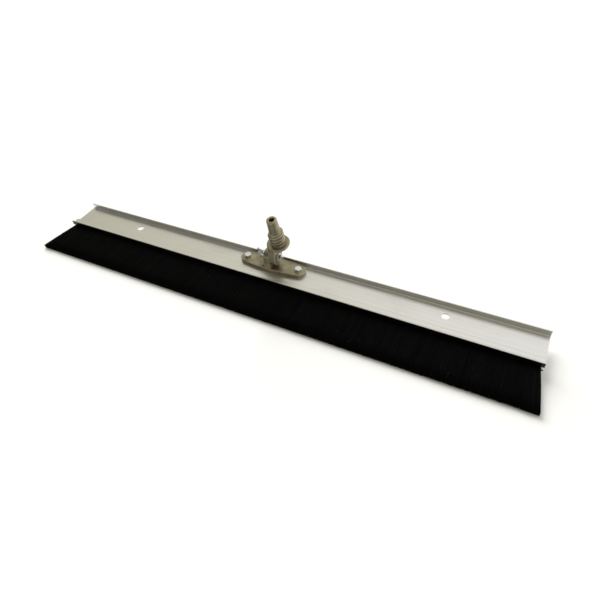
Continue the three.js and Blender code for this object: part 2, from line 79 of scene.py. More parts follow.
STRIP_HALF = HEAD_LENGTH / 2 - 5
STRIP_MIDDLE = (SLOT_TOP + SLOT_BOTTOM) / 2
BRISTLE_ROOT_Y = 6.3
BRISTLE_REACH = 75.2
BRISTLE_DROP = 0.4
BRISTLE_ROOT_HALF = 1.0
BRISTLE_TIP_HALF = 3.5
BRISTLE_SPLAY = 11.5
SPLAY_WIDTH = 34
FILAMENT_RADIUS = 0.27
FILAMENTS_PER_SECTION = 2500
END_TUFT = 500
END_TUFT_WIDTH = 16
STRAY = 0.5  # how unevenly the filaments lie, as standard deviations: sideways at the tip
BOW = 0.35  # sideways at mid length
LIFT = 0.2  # up or down at mid length
TRIM = 0.5  # in the length of the cut tips
BRISTLE_SECTIONS = 6

BRACKET_Y = 43
BOLT_X = 51.5
BASE_BOTTOM = 0.3
BASE_TOP = 7
BASE_HALF_WIDTH = 17
BASE_END_RADIUS = 13
RIM_WIDTH = 2.4
RECESS_DEPTH = 0.6
BOSS_RADIUS = 7.6
EAR_LEFT = -9.5
EAR_RIGHT = 2
EAR_RADIUS = 13.5
EAR_FOOT_HALF = 16
PIVOT_HEIGHT = 24
ADAPTER_LEAN = math.radians(9.4)

TANG_LEFT = 2.3
TANG_RIGHT = 14.3
STUB_X = 19
STUB_BEHIND = 5
COLLAR_BOTTOM = 31
COLLAR_TOP = 36
COLLAR_RADIUS = 20
THREAD_START = 39
THREAD_PITCH = 6.7
THREAD_TURNS = 3.5
THREAD_ROOT = 11.2
THREAD_CREST = 13.6
THREAD_TOP = 63
STUB_TOP = 90.4
STUB_BASE_RADIUS = 10
STUB_TIP_RADIUS = 8.8
BORE_RADIUS = 4.4
BORE_BOTTOM = 56

SMALL = {
    "shank": 3.1,
    "pitch": 1.27,
    "hole": 3.5,
    "across": 11.1,
    "head": 4.2,
    "nut": 5.6,
    "washer": 7.9,
    "length": 25.4,
    "plain": 7,
}
LARGE = {
    "shank": 3.9,
    "pitch": 1.41,
    "hole": 4.3,
    "across": 12.7,
    "head": 5.3,
    "nut": 8,
    "washer": 7.7,
    "length": 42,
    "plain": 24,
}
SMALL_LOCK_OUTER = 6.1
LARGE_LOCK_OUTER = LARGE["across"] / 2 + 0.9
WASHER_THICKNESS = 1.6
STOP_SCREW_X = 400
STOP_SCREW_RADIUS = 1.9
STOP_HEAD_RADIUS = 3.6
STOP_HEAD_HEIGHT = 2
WING_TIP = 12.6
WING_THICKNESS = 2.6
HUB_BASE_RADIUS = 6.8
HUB_TOP_RADIUS = 5.4
WING_ANGLE = math.radians(-10)

# how finely the castings' skins are meshed, and how uneven they are
BASE_VOXEL = 0.4
ADAPTER_VOXEL = 0.32
NUT_VOXEL = 0.25
CAST_LUMPS = 0.05
BROAD_GRAIN = 2.6
FINE_GRAIN = 0.9
NUT_LUMPS = 0.015


# ------------------------------------------------------------------------------------------------
# Frames
# ------------------------------------------------------------------------------------------------


def named(rows, name):
    return next(row for row in rows if row["name"] == name)


def lean_of(axis):
    return math.atan2(-axis[1], axis[2])


record = frame["record"]
pivot = Vector(named(frame["joints"], "adapter_tilt")["pos_m"])
adapter_lean = lean_of(named(record["mounts"], "pole_seat")["axis"])
plate_lean = adapter_lean - ADAPTER_LEAN

plate_turn = Matrix.Rotation(plate_lean, 4, "X")
plate_origin = pivot - plate_turn @ Vector((0, BRACKET_Y * MM, PIVOT_HEIGHT * MM))
plate_place = Matrix.Translation(plate_origin) @ plate_turn @ Matrix.Scale(MM, 4)
adapter_place = Matrix.Translation(pivot) @ Matrix.Rotation(adapter_lean, 4, "X") @ Matrix.Scale(MM, 4)
bracket_place = plate_place @ Matrix.Translation((0, BRACKET_Y, 0))
pivot_place = plate_place @ Matrix.Translation((0, BRACKET_Y, PIVOT_HEIGHT))
to_left = Matrix.Rotation(-math.pi / 2, 4, "Y")
to_right = Matrix.Rotation(math.pi / 2, 4, "Y")

# painted shade and a painted reflection of the black bristles darken the front of the lip and jaws, from here to
# here along Y, in metres
JAW_PAINTED_SHADE_START = (plate_place @ Vector((0, 0.8, 0))).y
JAW_PAINTED_SHADE_END = (plate_place @ Vector((0, 3, 0))).y


# ------------------------------------------------------------------------------------------------
# Mesh tools. A shell is (vertices, faces) in millimetres.
# ------------------------------------------------------------------------------------------------


class Outline:
    """A closed 2-D outline drawn with straight lines and quadratic bends."""

    def __init__(self, u, v):
        self.points = [(u, v)]

    def line(self, u, v):
        self.points.append((u, v))
        return self

    def bend(self, cu, cv, u, v, steps=8):
        u0, v0 = self.points[-1]
        for i in range(1, steps + 1):
            t = i / steps
            a, b, c = (1 - t) ** 2, 2 * t * (1 - t), t * t
            self.points.append((a * u0 + b * cu + c * u, a * v0 + b * cv + c * v))
        return self

    def arc(self, cu, cv, radius, start, end, steps=32):
        for i in range(steps + 1):
            angle = start + (end - start) * i / steps
            self.points.append((cu + radius * math.cos(angle), cv + radius * math.sin(angle)))
        return self


def ring_faces(rows, columns, closed_rows=False):
    """Quads over a grid of rows that each close on themselves."""
    faces = []
    for i in range(rows if closed_rows else rows - 1):
        for k in range(columns):
            a, b = i * columns, ((i + 1) % rows) * columns
            following = (k + 1) % columns
            faces.append((a + k, a + following, b + following, b + k))
    return faces


def extruded(outline, low, high, along):
    """An outline swept along X (outline in YZ), along Y (in XZ) or along Z (in XY)."""
    points = outline.points
    put = {
        "X": lambda u, v, w: (w, u, v),
        "Y": lambda u, v, w: (u, w, v),
        "Z": lambda u, v, w: (u, v, w),
    }[along]
    count = len(points)
    vertices = [put(u, v, w) for w in (low, high) for u, v in points]
    faces = ring_faces(2, count)
    faces += [tuple(reversed(range(count))), tuple(range(count, 2 * count))]
    return vertices, faces


def turned(profile, segments=96):
    """A profile of (radius, height) turned about Z. It starts and ends on the axis, or closes on itself."""
    solid = profile[0][0] == 0 and profile[-1][0] == 0
    rings = profile[1:-1] if solid else profile
    vertices = []
    for radius, height in rings:
        for k in range(segments):
            angle = 2 * math.pi * k / segments
            vertices.append((radius * math.cos(angle), radius * math.sin(angle), height))
    faces = ring_faces(len(rings), segments, closed_rows=not solid)
    if solid:
        start = len(vertices)
        vertices += [(0, 0, profile[0][1]), (0, 0, profile[-1][1])]
        last = (len(rings) - 1) * segments
        for k in range(segments):
            following = (k + 1) % segments
            faces.append((start, following, k))
            faces.append((start + 1, last + k, last + following))
    return vertices, faces


def rod(radius, low, high, x=0, y=0, segments=64):
    vertices, faces = turned([(0, low), (radius, low), (radius, high), (0, high)], segments)
    return [(u + x, v + y, w) for u, v, w in vertices], faces


def rod_along_x(radius, low, high, z=0):
    vertices, faces = rod(radius, low, high)
    return [(w, u, z + v) for u, v, w in vertices], faces


def shifted(shell, x=0, y=0, z=0):
    return [(u + x, v + y, w + z) for u, v, w in shell[0]], shell[1]


def make(name, shells, place):
    """One object from closed shells, in the row frame, with its faces pointing out."""
    vertices, faces = [], []
    for shell_vertices, shell_faces in shells:
        start = len(vertices)
        vertices += [place @ Vector(v) for v in shell_vertices]
        faces += [tuple(start + i for i in face) for face in shell_faces]
    mesh = bpy.data.meshes.new(name)
    mesh.from_pydata(vertices, [], faces)
    piece = bpy.data.objects.new(name, mesh)
    bpy.context.scene.collection.objects.link(piece)
    make_outward(piece)
    return piece


def make_outward(piece):
    body = bmesh.new()
    body.from_mesh(piece.data)
    bmesh.ops.recalc_face_normals(body, faces=body.faces)
    body.to_mesh(piece.data)
    body.free()


def bake(piece):
    """Applies the piece's modifiers to its mesh."""
    bpy.context.view_layer.update()
    graph = bpy.context.evaluated_depsgraph_get()
    mesh = bpy.data.meshes.new_from_object(piece.evaluated_get(graph))
    piece.modifiers.clear()
    rough = piece.data
    piece.data = mesh
    bpy.data.meshes.remove(rough)
    mesh.name = piece.name
    return piece


def cut(piece, shells, place, operation="DIFFERENCE"):
    """Cuts the piece by closed shells, or keeps what is inside them."""
    for shell in shells:
        cutter = make("cutter", [shell], place)
        boolean = piece.modifiers.new("cut", "BOOLEAN")
        boolean.operation = operation
        boolean.solver = "EXACT"
        boolean.object = cutter
        bake(piece)
        bpy.data.objects.remove(cutter)
    return piece


def ease_edges(piece, width):
    """A small round on every hard edge, with smooth shading across it."""
    bevel = piece.modifiers.new("edges", "BEVEL")
    bevel.width = width * MM
    bevel.segments = 2
    bevel.limit_method = "ANGLE"
    bevel.angle_limit = HARD_EDGE
    bevel.miter_outer = "MITER_ARC"
    bake(piece)
    piece.data.shade_smooth()
    piece.data.set_sharp_from_angle(angle=HARD_EDGE)
    weighted = piece.modifiers.new("normals", "WEIGHTED_NORMAL")
    weighted.weight = 100
    weighted.keep_sharp = True
    return bake(piece)


def roughen(mesh, height):
    """Moves the mesh's vertices in and out along their normals by a fine, even noise."""
    count = len(mesh.vertices)
    points = np.empty(count * 3)
    normals = np.empty(count * 3)
    mesh.vertices.foreach_get("co", points)
    mesh.vertex_normals.foreach_get("vector", normals)
    points = points.reshape(-1, 3)
    broad = np.array([noise.noise(Vector(point)) for point in points / (BROAD_GRAIN * MM)])
    fine = np.array([noise.noise(Vector(point)) for point in points / (FINE_GRAIN * MM)])
    points += normals.reshape(-1, 3) * ((broad + 0.5 * fine) * height)[:, None]
    mesh.vertices.foreach_set("co", points.ravel())
    mesh.update()


def cast_skin(piece, voxel, smoothing, lumps):
    """Joins the piece's shells into one skin with the rounded edges and uneven surface of a casting."""
    remesh = piece.modifiers.new("remesh", "REMESH")
    remesh.mode = "VOXEL"
    remesh.voxel_size = voxel * MM
    smooth = piece.modifiers.new("smooth", "SMOOTH")
    smooth.factor = 0.5
    smooth.iterations = smoothing
    bake(piece)
    if lumps:
        roughen(piece.data, lumps * MM)
    piece.data.shade_smooth()
    return piece


def settle(piece, body, slot, material, *nodes):
    """Gives a finished piece its material and its body, and hides the CAD nodes it stands for. Its slot argument
    is not used.
    """
    piece.data.materials.clear()
    piece.data.materials.append(material)
    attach(piece, body)
    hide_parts(*nodes)
    return piece


# ------------------------------------------------------------------------------------------------
# Materials
# ------------------------------------------------------------------------------------------------


class Shader:
    """A Principled material with short ways to add the nodes used here."""

    def __init__(self, name, metallic, **constants):
        self.material = bpy.data.materials.new(name)
        self.material.use_nodes = True
        self.nodes = self.material.node_tree.nodes
        self.links = self.material.node_tree.links
        self.surface = self.nodes["Principled BSDF"]
        self.surface.inputs["Metallic"].default_value = metallic
        for socket, value in constants.items():
            self.surface.inputs[socket.replace("_", " ")].default_value = value
        self.place = self.nodes.new("ShaderNodeTexCoord").outputs["Object"]

    def stretched(self, scale):
        mapping = self.nodes.new("ShaderNodeMapping")
        mapping.inputs["Scale"].default_value = scale
        self.links.new(self.place, mapping.inputs["Vector"])
        return mapping.outputs["Vector"]

    def noise(self, scale, detail=4, roughness=0.55, vector=None):
        texture = self.nodes.new("ShaderNodeTexNoise")
        texture.inputs["Scale"].default_value = scale
        texture.inputs["Detail"].default_value = detail
        texture.inputs["Roughness"].default_value = roughness
        self.links.new(vector or self.place, texture.inputs["Vector"])
        return texture.outputs["Fac"]

    def ramp(self, value, *stops):
        ramp = self.nodes.new("ShaderNodeValToRGB")
        elements = ramp.color_ramp.elements
        elements[0].position, elements[0].color = stops[0][0], (*stops[0][1], 1)
        elements[1].position, elements[1].color = stops[-1][0], (*stops[-1][1], 1)
        for position, colour in stops[1:-1]:
            elements.new(position).color = (*colour, 1)
        self.links.new(value, ramp.inputs["Fac"])
        return ramp.outputs["Color"]

    def spread(self, value, low, high, out_low, out_high):
        ranged = self.nodes.new("ShaderNodeMapRange")
        numbers = {"From Min": low, "From Max": high, "To Min": out_low, "To Max": out_high}
        for socket, number in numbers.items():
            ranged.inputs[socket].default_value = number
        self.links.new(value, ranged.inputs["Value"])
        return ranged.outputs["Result"]

    def mix(self, factor, first, second, blend="MIX"):
        mix = self.nodes.new("ShaderNodeMix")
        mix.data_type = "RGBA"
        mix.blend_type = blend
        for socket, value in (("Factor", factor), ("A", first), ("B", second)):
            target = next(s for s in mix.inputs if s.name == socket and s.enabled)
            if isinstance(value, (int, float, tuple)):
                target.default_value = value
            else:
                self.links.new(value, target)
        return next(s for s in mix.outputs if s.enabled)

    def math(self, operation, first, second):
        node = self.nodes.new("ShaderNodeMath")
        node.operation = operation
        for index, value in enumerate((first, second)):
            if isinstance(value, (int, float)):
                node.inputs[index].default_value = value
            else:
                self.links.new(value, node.inputs[index])
        return node.outputs[0]

    def facing_front(self):
        """1 on faces that look straight to the front, falling to 0 as they turn away."""
        turn = self.nodes.new("ShaderNodeVectorMath")
        turn.operation = "DOT_PRODUCT"
        turn.inputs[1].default_value = (0, -1, 0)
        self.links.new(self.nodes.new("ShaderNodeNewGeometry").outputs["Normal"], turn.inputs[0])
        return self.spread(turn.outputs["Value"], 0.35, 0.85, 0, 1)

    def along_y(self, start, end):
        """1 in front of start, falling to 0 at end, both in metres."""
        split = self.nodes.new("ShaderNodeSeparateXYZ")
        self.links.new(self.place, split.inputs[0])
        return self.spread(split.outputs["Y"], start, end, 1, 0)

    def edges(self, low, high):
        """Rises from 0 to 1 between two values of pointiness: over 0.5 is an edge, under it a hollow."""
        pointiness = self.nodes.new("ShaderNodeNewGeometry").outputs["Pointiness"]
        return self.spread(pointiness, low, high, 0, 1)

    def bump(self, height, distance, strength=1.0):
        bump = self.nodes.new("ShaderNodeBump")
        bump.inputs["Strength"].default_value = strength
        bump.inputs["Distance"].default_value = distance * MM
        self.links.new(height, bump.inputs["Height"])
        self.links.new(bump.outputs["Normal"], self.surface.inputs["Normal"])

    def set(self, socket, value):
        self.links.new(value, self.surface.inputs[socket])


def mill_aluminium():
    """Extruded aluminium: die lines along the head, fine brushing, faint handling marks, and painted shade on the
    front of the lip and jaws.
    """
    shader = Shader("mill_aluminium", metallic=1.0)
    lines = shader.noise(1, 5, 0.6, shader.stretched((2.5, 900, 900)))
    hairs = shader.noise(1, 3, 0.7, shader.stretched((30, 4200, 4200)))
    blotches = shader.noise(14, 4, 0.6)
    marks = shader.noise(1, 6, 0.7, shader.stretched((60, 160, 160)))
    tone = shader.ramp(lines, (0.25, (0.72, 0.71, 0.67)), (0.75, (0.83, 0.82, 0.79)))
    dulled = shader.mix(shader.spread(blotches, 0.52, 0.75, 0, 0.35), tone, (0.66, 0.65, 0.60, 1))
    marked = shader.mix(shader.spread(marks, 0.66, 0.75, 0, 0.22), dulled, (0.55, 0.54, 0.5, 1))
    # painted shade and painted reflection of the bristles: the front-facing faces of the lip and jaws turn near
    # black
    painted_jaw_shade = shader.math("MULTIPLY", shader.facing_front(), shader.along_y(JAW_PAINTED_SHADE_START, JAW_PAINTED_SHADE_END))
    shader.set("Base Color", shader.mix(painted_jaw_shade, marked, (0.05, 0.05, 0.04, 1)))
    rough = shader.spread(hairs, 0.3, 0.7, 0.26, 0.4)
    shader.set("Roughness", shader.math("ADD", rough, shader.spread(blotches, 0.45, 0.75, 0, 0.1)))
    shader.bump(shader.math("ADD", lines, shader.math("MULTIPLY", hairs, 0.4)), 0.05, 0.35)
    return shader.material


def cast_aluminium():
    """Dull sand casting: grainy, warm grey, lighter on the edges for rubbing and a painted highlight, darker in
    the hollows for grime and painted shade.
    """
    shader = Shader("cast_aluminium", metallic=0.9)
    grain = shader.noise(1500, 4, 0.65)
    pits = shader.noise(520, 3, 0.5)
    stain = shader.noise(70, 5, 0.6)
    tone = shader.ramp(stain, (0.3, (0.25, 0.22, 0.145)), (0.7, (0.42, 0.375, 0.265)))
    speckled = shader.mix(shader.spread(pits, 0.58, 0.72, 0, 0.45), tone, (0.17, 0.145, 0.095, 1))
    # grime and painted shade: the hollows darken nearly to black
    grime_and_painted_shade = shader.mix(shader.edges(0.498, 0.455), speckled, (0.03, 0.025, 0.016, 1))
    # rubbing and a painted highlight: the edges and thread crests lighten
    wear_and_painted_highlight = shader.mix(shader.edges(0.508, 0.55), grime_and_painted_shade, (0.72, 0.67, 0.51, 1))
    shader.set("Base Color", wear_and_painted_highlight)
    shader.set("Roughness", shader.spread(grain, 0.3, 0.7, 0.3, 0.46))
    shader.bump(shader.math("ADD", grain, shader.math("MULTIPLY", pits, 1.6)), 0.12, 0.5)
    return shader.material


def zinc_plate():
    """Bright bluish zinc plate with a faint bloom."""
    shader = Shader("zinc_plate", metallic=1.0)
    bloom = shader.noise(260, 4, 0.6)
    scuffs = shader.noise(1, 5, 0.7, shader.stretched((900, 300, 2600)))
    blue, clear, yellow = (0.66, 0.72, 0.76), (0.8, 0.83, 0.84), (0.79, 0.78, 0.7)
    tone = shader.ramp(bloom, (0.3, blue), (0.55, clear), (0.75, yellow))
    worn = shader.mix(shader.edges(0.52, 0.6), tone, (0.9, 0.91, 0.9, 1))
    shader.set("Base Color", worn)
    shader.set("Roughness", shader.spread(scuffs, 0.3, 0.7, 0.2, 0.36))
    shader.bump(scuffs, 0.02, 0.4)
    return shader.material


def strip_steel():
    """Galvanised strip: grey with slightly darker spangle."""
    shader = Shader("strip_steel", metallic=1.0)
    spangle = shader.noise(420, 2, 0.5)
    lines = shader.noise(1, 4, 0.6, shader.stretched((8, 1500, 1500)))
    shader.set("Base Color", shader.ramp(spangle, (0.35, (0.42, 0.44, 0.45)), (0.65, (0.6, 0.62, 0.63))))
    shader.set("Roughness", shader.spread(lines, 0.3, 0.7, 0.32, 0.48))
    shader.bump(lines, 0.03, 0.4)
    return shader.material


def black_bristle():
    """Black synthetic filament with a dull surface."""
    shader = Shader("black_bristle", metallic=0.0, Specular_IOR_Level=0.05)
    strands = shader.noise(1, 3, 0.6, shader.stretched((2600, 60, 900)))
    dust = shader.noise(90, 4, 0.6)
    tone = shader.ramp(strands, (0.3, (0.0012, 0.0012, 0.0013)), (0.7, (0.0035, 0.0035, 0.0036)))
    dusty = shader.mix(shader.spread(dust, 0.62, 0.8, 0, 0.4), tone, (0.007, 0.0068, 0.006, 1))
    shader.set("Base Color", dusty)
    shader.set("Roughness", shader.spread(strands, 0.3, 0.7, 0.48, 0.66))
    shader.bump(strands, 0.05, 0.4)
    return shader.material


ALUMINIUM = mill_aluminium()
CASTING = cast_aluminium()
ZINC = zinc_plate()
STEEL = strip_steel()
BRISTLE = black_bristle()


# ------------------------------------------------------------------------------------------------
# Backing extrusion and brush strip
# ------------------------------------------------------------------------------------------------


def backing_outline():
    top = SLOT_TOP + SLOT_WALL
    bottom = SLOT_BOTTOM - SLOT_WALL
    back = SLOT_BACK + SLOT_WALL
    inner = HEAD_DEPTH - FLANGE_THICKNESS
    under = -PLATE_THICKNESS
    outline = Outline(0, JAW_TOP)
    for u, v in ((JAW_THICKNESS, JAW_TOP), (JAW_THICKNESS, SLOT_TOP), (SLOT_BACK, SLOT_TOP)):
        outline.line(u, v)
    for u, v in ((SLOT_BACK, SLOT_BOTTOM), (JAW_THICKNESS, SLOT_BOTTOM), (JAW_THICKNESS, JAW_BOTTOM)):
        outline.line(u, v)
    outline.line(0, JAW_BOTTOM).line(0, bottom + 1).bend(0, bottom, 1, bottom)
    outline.line(back - 1, bottom).bend(back, bottom, back, bottom + 1)
    outline.line(back, under - 1).bend(back, under, back + 1, under)
    outline.line(HEAD_DEPTH - 1, under).bend(HEAD_DEPTH, under, HEAD_DEPTH, under + 1)
    outline.line(HEAD_DEPTH, FLANGE_HEIGHT - 0.8)
    outline.bend(HEAD_DEPTH, FLANGE_HEIGHT, HEAD_DEPTH - FLANGE_THICKNESS / 2, FLANGE_HEIGHT)
    outline.bend(inner, FLANGE_HEIGHT, inner, FLANGE_HEIGHT - 0.8)
    outline.line(inner, 1.5).bend(inner, 0, inner - 1.5, 0)
    outline.line(STEP_END + 1, 0).bend(STEP_END, 0, STEP_END - 0.6, top / 2)
    outline.bend(back + 1.4, top, back, top)
    outline.line(LIP_REACH, top).bend(LIP_REACH - 3, top + 0.6, 2.2, LIP_HEIGHT - 0.6)
    outline.bend(0.4, LIP_HEIGHT + 0.8, 0, LIP_HEIGHT - 1.2)
    return outline


def backing_extrusion():
    half = HEAD_LENGTH / 2
    piece = make("backing_body", [extruded(backing_outline(), -half, half, "X")], plate_place)
    cutters = []
    for side in (-1, 1):
        cutters.append(rod(HOLE_RADIUS, -PLATE_THICKNESS - 1, 1, side * HOLE_X, HOLE_Y, 96))
        cutters.append(rod(SMALL["hole"], -PLATE_THICKNESS - 1, 1, side * BOLT_X, BRACKET_Y))
        low = SLOT_BOTTOM - SLOT_WALL - 1
        middle = (JAW_THICKNESS + SLOT_BACK) / 2
        cutters.append(rod(STOP_SCREW_RADIUS + GAP, low, SLOT_BOTTOM + 1, side * STOP_SCREW_X, middle))
    cut(piece, cutters, plate_place)
    ease_edges(piece, 0.22)
    return settle(piece, "head", "extruded_aluminium", ALUMINIUM, "backing_extrusion")


def bristle_section(index, rng):
    """One section of the strip: nearly straight filaments that fan out from the channel to trimmed tips."""
    sides = 4
    stations = (0, 0.12, 0.45, 0.75, 1)
    low = -STRIP_HALF + index * 2 * STRIP_HALF / BRISTLE_SECTIONS
    high = low + 2 * STRIP_HALF / BRISTLE_SECTIONS
    vertices, faces = [], []
    corner_angles = [2 * math.pi * (k + 0.5) / sides for k in range(sides)]
    pitch = (high - low) / FILAMENTS_PER_SECTION
    roots = [low + pitch * (i + rng.random()) for i in range(FILAMENTS_PER_SECTION)]
    if index == 0:
        roots += [low + END_TUFT_WIDTH * rng.random() ** 1.5 for _ in range(END_TUFT)]
    if index == BRISTLE_SECTIONS - 1:
        roots += [high - END_TUFT_WIDTH * rng.random() ** 1.5 for _ in range(END_TUFT)]
    for x in roots:
        x = min(max(x, FILAMENT_RADIUS - STRIP_HALF), STRIP_HALF - FILAMENT_RADIUS)
        level = rng.uniform(-1, 1)
        near_end = max(0, abs(x) - (STRIP_HALF - SPLAY_WIDTH)) / SPLAY_WIDTH
        splay = math.copysign(BRISTLE_SPLAY * near_end**1.6, x)
        stray = rng.gauss(0, STRAY) * (1 - 0.7 * near_end)
        bow = rng.gauss(0, BOW)
        lift = rng.gauss(0, LIFT)
        reach = BRISTLE_REACH - abs(rng.gauss(0, TRIM))
        start = len(vertices)
        for t in stations:
            wave = math.sin(math.pi * t)
            middle = (
                x + splay * t + stray * t + bow * wave,
                BRISTLE_ROOT_Y - (BRISTLE_ROOT_Y + reach) * t,
                STRIP_MIDDLE - BRISTLE_DROP * t
                + level * (BRISTLE_ROOT_HALF + (BRISTLE_TIP_HALF - BRISTLE_ROOT_HALF) * t) + lift * wave,
            )
            radius = FILAMENT_RADIUS * (1 - 0.25 * t)
            for angle in corner_angles:
                vertices.append(
                    (middle[0] + radius * math.cos(angle), middle[1], middle[2] + radius * math.sin(angle))
                )
        for ring in range(len(stations) - 1):
            a = start + ring * sides
            for k in range(sides):
                following = (k + 1) % sides
                faces.append((a + k, a + sides + k, a + sides + following, a + following))
        last = start + (len(stations) - 1) * sides
        faces.append(tuple(start + k for k in range(sides)))
        faces.append(tuple(last + k for k in reversed(range(sides))))
    points = np.array(vertices) @ np.array(plate_place.to_3x3()).T + np.array(plate_place.translation)
    mesh = bpy.data.meshes.new(f"bristles_{index + 1}")
    mesh.from_pydata(points.tolist(), [], faces)
    mesh.shade_smooth()
    piece = bpy.data.objects.new(f"bristles_{index + 1}", mesh)
    bpy.context.scene.collection.objects.link(piece)
    return settle(piece, "head", "black_bristle", BRISTLE, f"bristle_section_{index + 1}")


def stop_screw(name, side):
    """Pan-head screw with a cross recess, up through the holder's floor."""
    floor = SLOT_BOTTOM - SLOT_WALL - GAP
    dome = Outline(STOP_HEAD_RADIUS, floor - 0.3).bend(
        STOP_HEAD_RADIUS, floor - STOP_HEAD_HEIGHT, 0.01, floor - STOP_HEAD_HEIGHT, 10
    )
    profile = [(0, SLOT_BOTTOM), (STOP_SCREW_RADIUS, SLOT_BOTTOM), (STOP_SCREW_RADIUS, floor)]
    profile += [(STOP_HEAD_RADIUS, floor)] + dome.points + [(0, floor - STOP_HEAD_HEIGHT)]
    place = plate_place @ Matrix.Translation((side * STOP_SCREW_X, (JAW_THICKNESS + SLOT_BACK) / 2, 0))
    piece = make(f"{name}_body", [turned(profile, 64)], place)
    recess_floor = floor - STOP_HEAD_HEIGHT + 1.1
    slots = []
    for long_u, long_v in ((2.0, 0.45), (0.45, 2.0)):
        slot = Outline(-long_u, -long_v).line(long_u, -long_v).line(long_u, long_v).line(-long_u, long_v)
        slots.append(extruded(slot, floor - STOP_HEAD_HEIGHT - 1, recess_floor, "Z"))
    cut(piece, slots, place)
    ease_edges(piece, 0.08)
    return settle(piece, "head", "zinc_plate", ZINC, name)


# ------------------------------------------------------------------------------------------------
# Fasteners, each built along Z from the face it bears on
# ------------------------------------------------------------------------------------------------


def hexagon(across):
    corner = across / math.sqrt(3)
    outline = Outline(corner, 0)
    for k in range(1, 6):
        angle = k * math.pi / 3
        outline.line(corner * math.cos(angle), corner * math.sin(angle))
    return outline


def hex_block(name, across, height, place):
    """Six flats whose corners are turned off at the outer end."""
    piece = make(name, [extruded(hexagon(across), 0, height, "Z")], place)
    corner = across / math.sqrt(3)
    chamfer = 0.58 * (corner - across / 2)
    cone = [(0, -0.1), (corner + 0.3, -0.1), (corner + 0.3, height - chamfer - 0.15)]
    cone += [(across / 2 - 0.3, height), (0, height)]
    return cut(piece, [turned(cone)], place, "INTERSECT")


def thread(radius, pitch, low, high):
    """A right-handed V thread from low to high, chamfered at its low end."""
    segments, rings_per_turn = 40, 10
    depth = 0.55 * pitch
    rings = round((high - low) / pitch * rings_per_turn)
    vertices = []
    for i in range(rings + 1):
        height = low + (high - low) * i / rings
        for k in range(segments):
            angle = 2 * math.pi * k / segments
            turn = (height / pitch - k / segments) % 1
            groove = depth * abs(2 * turn - 1)
            end_cut = max(0, low + 0.9 - height)
            run_out = min(1, (high - height) / pitch)
            reach = min(radius - groove * run_out, radius - 0.8 * end_cut)
            vertices.append((reach * math.cos(angle), reach * math.sin(angle), height))
    faces = ring_faces(rings + 1, segments)
    last = rings * segments
    faces += [tuple(reversed(range(segments))), tuple(range(last, last + segments))]
    return vertices, faces


def join(piece, other):
    """Adds another object's mesh to the piece as a shell of its own."""
    body = bmesh.new()
    body.from_mesh(piece.data)
    body.from_mesh(other.data)
    body.to_mesh(piece.data)
    body.free()
    bpy.data.objects.remove(other)
    return piece


def bolt(name, size, place):
    """A hex bolt: plain under its head, threaded to its end."""
    plain = size["plain"]
    head = hex_block(f"{name}_body", size["across"], size["head"], place)
    ease_edges(head, 0.16)
    shank = make("shank", [thread(size["shank"], size["pitch"], -size["length"], -plain)], place)
    neck = make("neck", [rod(size["shank"], -plain - 0.05, 0.05)], place)
    for part in (shank, neck):
        part.data.shade_smooth()
        part.data.set_sharp_from_angle(angle=math.radians(40))
        join(head, part)
    return settle(head, "head", "zinc_plate", ZINC, name)


def nut(name, size, place):
    piece = hex_block(f"{name}_body", size["across"], size["nut"], place)
    cut(piece, [rod(size["hole"], -1, size["nut"] + 1)], place)
    ease_edges(piece, 0.16)
    return settle(piece, "head", "zinc_plate", ZINC, name)


def flat_washer(name, size, place):
    inner, outer, top = size["hole"], size["washer"], WASHER_THICKNESS
    ease = 0.3
    profile = [(inner, 0), (outer - ease, 0), (outer, ease), (outer, top - ease), (outer - ease, top)]
    profile += [(inner + 0.15, top), (inner, top - 0.15)]
    piece = make(f"{name}_body", [turned(profile)], place)
    ease_edges(piece, 0.08)
    return settle(piece, "head", "zinc_plate", ZINC, name)


def lock_washer(name, inner, outer, place):
    """A split spring washer: one turn of square section, cut at a slant."""
    segments = 72
    gap = 0.12
    top = WASHER_THICKNESS
    vertices = []
    for i in range(segments + 1):
        t = i / segments
        for radius, height in ((inner, 0.1), (outer, 0.1), (outer, top - 0.1), (inner, top - 0.1)):
            slant = 0.14 * (height / top - 0.5)
            angle = gap + slant + (2 * math.pi - 2 * gap) * t
            vertices.append((radius * math.cos(angle), radius * math.sin(angle), height + 0.2 * (t - 0.5)))
    faces = ring_faces(segments + 1, 4)
    last = segments * 4
    faces += [(3, 2, 1, 0), (last, last + 1, last + 2, last + 3)]
    piece = make(f"{name}_body", [(vertices, faces)], place)
    ease_edges(piece, 0.1)
    return settle(piece, "head", "zinc_plate", ZINC, name)


# ------------------------------------------------------------------------------------------------
# Bracket
# ------------------------------------------------------------------------------------------------


def base_outline(inset):
    radius = BASE_END_RADIUS - inset
    half = BASE_HALF_WIDTH - inset
    outline = Outline(-BOLT_X, -radius)
    outline.bend(-BOLT_X / 2, -half, 0, -half, 12).bend(BOLT_X / 2, -half, BOLT_X, -radius, 12)
    outline.arc(BOLT_X, 0, radius, -math.pi / 2, math.pi / 2)
    outline.bend(BOLT_X / 2, half, 0, half, 12).bend(-BOLT_X / 2, half, -BOLT_X, radius, 12)
    outline.arc(-BOLT_X, 0, radius, math.pi / 2, 3 * math.pi / 2)
    outline.points.pop()
    return outline


def ear_outline():
    low = BASE_TOP - 2
    outline = Outline(-EAR_FOOT_HALF, low)
    outline.bend(1 - EAR_RADIUS, BASE_TOP + 4, -EAR_RADIUS, PIVOT_HEIGHT, 16)
    outline.arc(0, PIVOT_HEIGHT, EAR_RADIUS, math.pi, 0, 48)
    outline.bend(EAR_RADIUS - 1, BASE_TOP + 4, EAR_FOOT_HALF, low, 16)
    return outline


